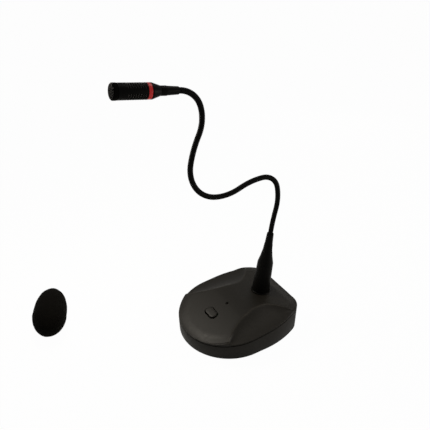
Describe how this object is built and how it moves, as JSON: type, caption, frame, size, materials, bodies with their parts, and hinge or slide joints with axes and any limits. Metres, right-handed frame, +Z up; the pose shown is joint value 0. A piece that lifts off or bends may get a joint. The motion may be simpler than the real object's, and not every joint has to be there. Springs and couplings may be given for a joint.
{
  "type": "gooseneck conference microphone",
  "caption": "Desk microphone on a weighted base with a push button, a status light, a bendable gooseneck, a lit ring at the head and a loose foam windscreen.",
  "frame": {"origin": "on the table, under the middle of the base", "axes": "+Z up, -Y the front with the button, +X the side away from the windscreen"},
  "size_m": [0.2098, 0.2894, 0.3249],
  "materials": {
    "cover_plastic": "fine moulded texture",
    "pad_rubber": "matt",
    "plain_steel": "bare",
    "button_plastic": "satin",
    "black_plastic": "satin",
    "board": "lacquered",
    "lamp_red": "translucent",
    "lamp_white": "clear",
    "contact_brass": "plated",
    "black_metal": "black satin",
    "neck_metal": "black matt",
    "foam": "open-cell foam"
  },
  "bodies": {
    "base": {"base_cover": "cover_plastic", "base_tray": "cover_plastic", "base_pad": "pad_rubber", "ballast_plate": "plain_steel", "cover_screws": "plain_steel", "switch_body": "black_plastic", "circuit_board": "board", "board_screws": "plain_steel", "status_led": "lamp_red", "inlet_shell": "black_plastic", "inlet_nut": "black_plastic", "inlet_insert": "black_plastic", "inlet_pins": "contact_brass", "socket_bezel": "black_plastic", "mast_sleeve": "black_plastic", "mast_washer": "plain_steel", "mast_nut": "plain_steel", "plug_collar": "black_metal", "step_ring": "black_metal", "neck_ferrule": "black_metal"},
    "button": {"push_button": "button_plastic", "switch_plunger": "black_plastic"},
    "link_1": {"neck_link_1": "neck_metal"},
    "link_2": {"neck_link_2": "neck_metal"},
    "link_3": {"neck_link_3": "neck_metal"},
    "link_4": {"neck_link_4": "neck_metal"},
    "link_5": {"neck_link_5": "neck_metal"},
    "link_6": {"neck_link_6": "neck_metal"},
    "link_7": {"neck_link_7": "neck_metal"},
    "link_8": {"neck_link_8": "neck_metal"},
    "link_9": {"neck_link_9": "neck_metal"},
    "link_10": {"neck_link_10": "neck_metal"},
    "head": {"head_sleeve": "black_metal", "head_cone": "black_metal", "light_ring": "lamp_red", "light_board": "board", "light_leds": "lamp_white", "capsule_tube": "black_metal", "slot_gauze": "black_metal", "capsule_seat": "pad_rubber", "capsule": "plain_steel", "grille_foam": "foam", "head_cap": "black_metal"},
    "windscreen": {"windscreen": "foam"}
  },
  "joints": [
    {"name": "button_press", "type": "slide", "parent": "base", "child": "button", "axis": [0, 0.2504, -0.9681], "range_m": [0, 0.0015], "stiffness_N_per_m": 800},
    {"name": "neck_1_nod", "type": "hinge", "parent": "base", "child": "link_1", "pos_m": [0, 0.05043, 0.11817], "axis": [1, 0, 0], "range_deg": [-25, 25]},
    {"name": "neck_2_swing", "type": "hinge", "parent": "link_1", "child": "link_2", "pos_m": [0, 0.05577, 0.14768], "axis": [0, 0.9724, -0.2334], "range_deg": [-25, 25]},
    {"name": "neck_3_nod", "type": "hinge", "parent": "link_2", "child": "link_3", "pos_m": [0, 0.05577, 0.1774], "axis": [-1, 0, 0], "range_deg": [-25, 25]},
    {"name": "neck_4_swing", "type": "hinge", "parent": "link_3", "child": "link_4", "pos_m": [0, 0.03402, 0.19485], "axis": [0, 0.0175, 0.9998], "range_deg": [-25, 25]},
    {"name": "neck_5_nod", "type": "hinge", "parent": "link_4", "child": "link_5", "pos_m": [0, 0.00469, 0.18954], "axis": [-1, 0, 0], "range_deg": [-25, 25]},
    {"name": "neck_6_swing", "type": "hinge", "parent": "link_5", "child": "link_6", "pos_m": [0, -0.02478, 0.18683], "axis": [0, -0.1908, -0.9816], "range_deg": [-25, 25]},
    {"name": "neck_7_nod", "type": "hinge", "parent": "link_6", "child": "link_7", "pos_m": [0, -0.0489, 0.20326], "axis": [1, 0, 0], "range_deg": [-25, 25]},
    {"name": "neck_8_swing", "type": "hinge", "parent": "link_7", "child": "link_8", "pos_m": [0, -0.05437, 0.23203], "axis": [0, -0.9816, 0.1908], "range_deg": [-25, 25]},
    {"name": "neck_9_nod", "type": "hinge", "parent": "link_8", "child": "link_9", "pos_m": [0, -0.04487, 0.2604], "axis": [-1, 0, 0], "range_deg": [-25, 25]},
    {"name": "neck_10_swing", "type": "hinge", "parent": "link_9", "child": "link_10", "pos_m": [0, -0.04232, 0.28962], "axis": [0, 0.9613, 0.2756], "range_deg": [-25, 25]},
    {"name": "neck_11_nod", "type": "hinge", "parent": "link_10", "child": "head", "pos_m": [0, -0.06373, 0.30823], "axis": [-1, 0, 0], "range_deg": [-25, 25]},
    {"name": "windscreen_lift", "type": "slide", "parent": "base", "child": "windscreen", "axis": [0, 0, 1], "range_m": [0, 0.06]}
  ]
}
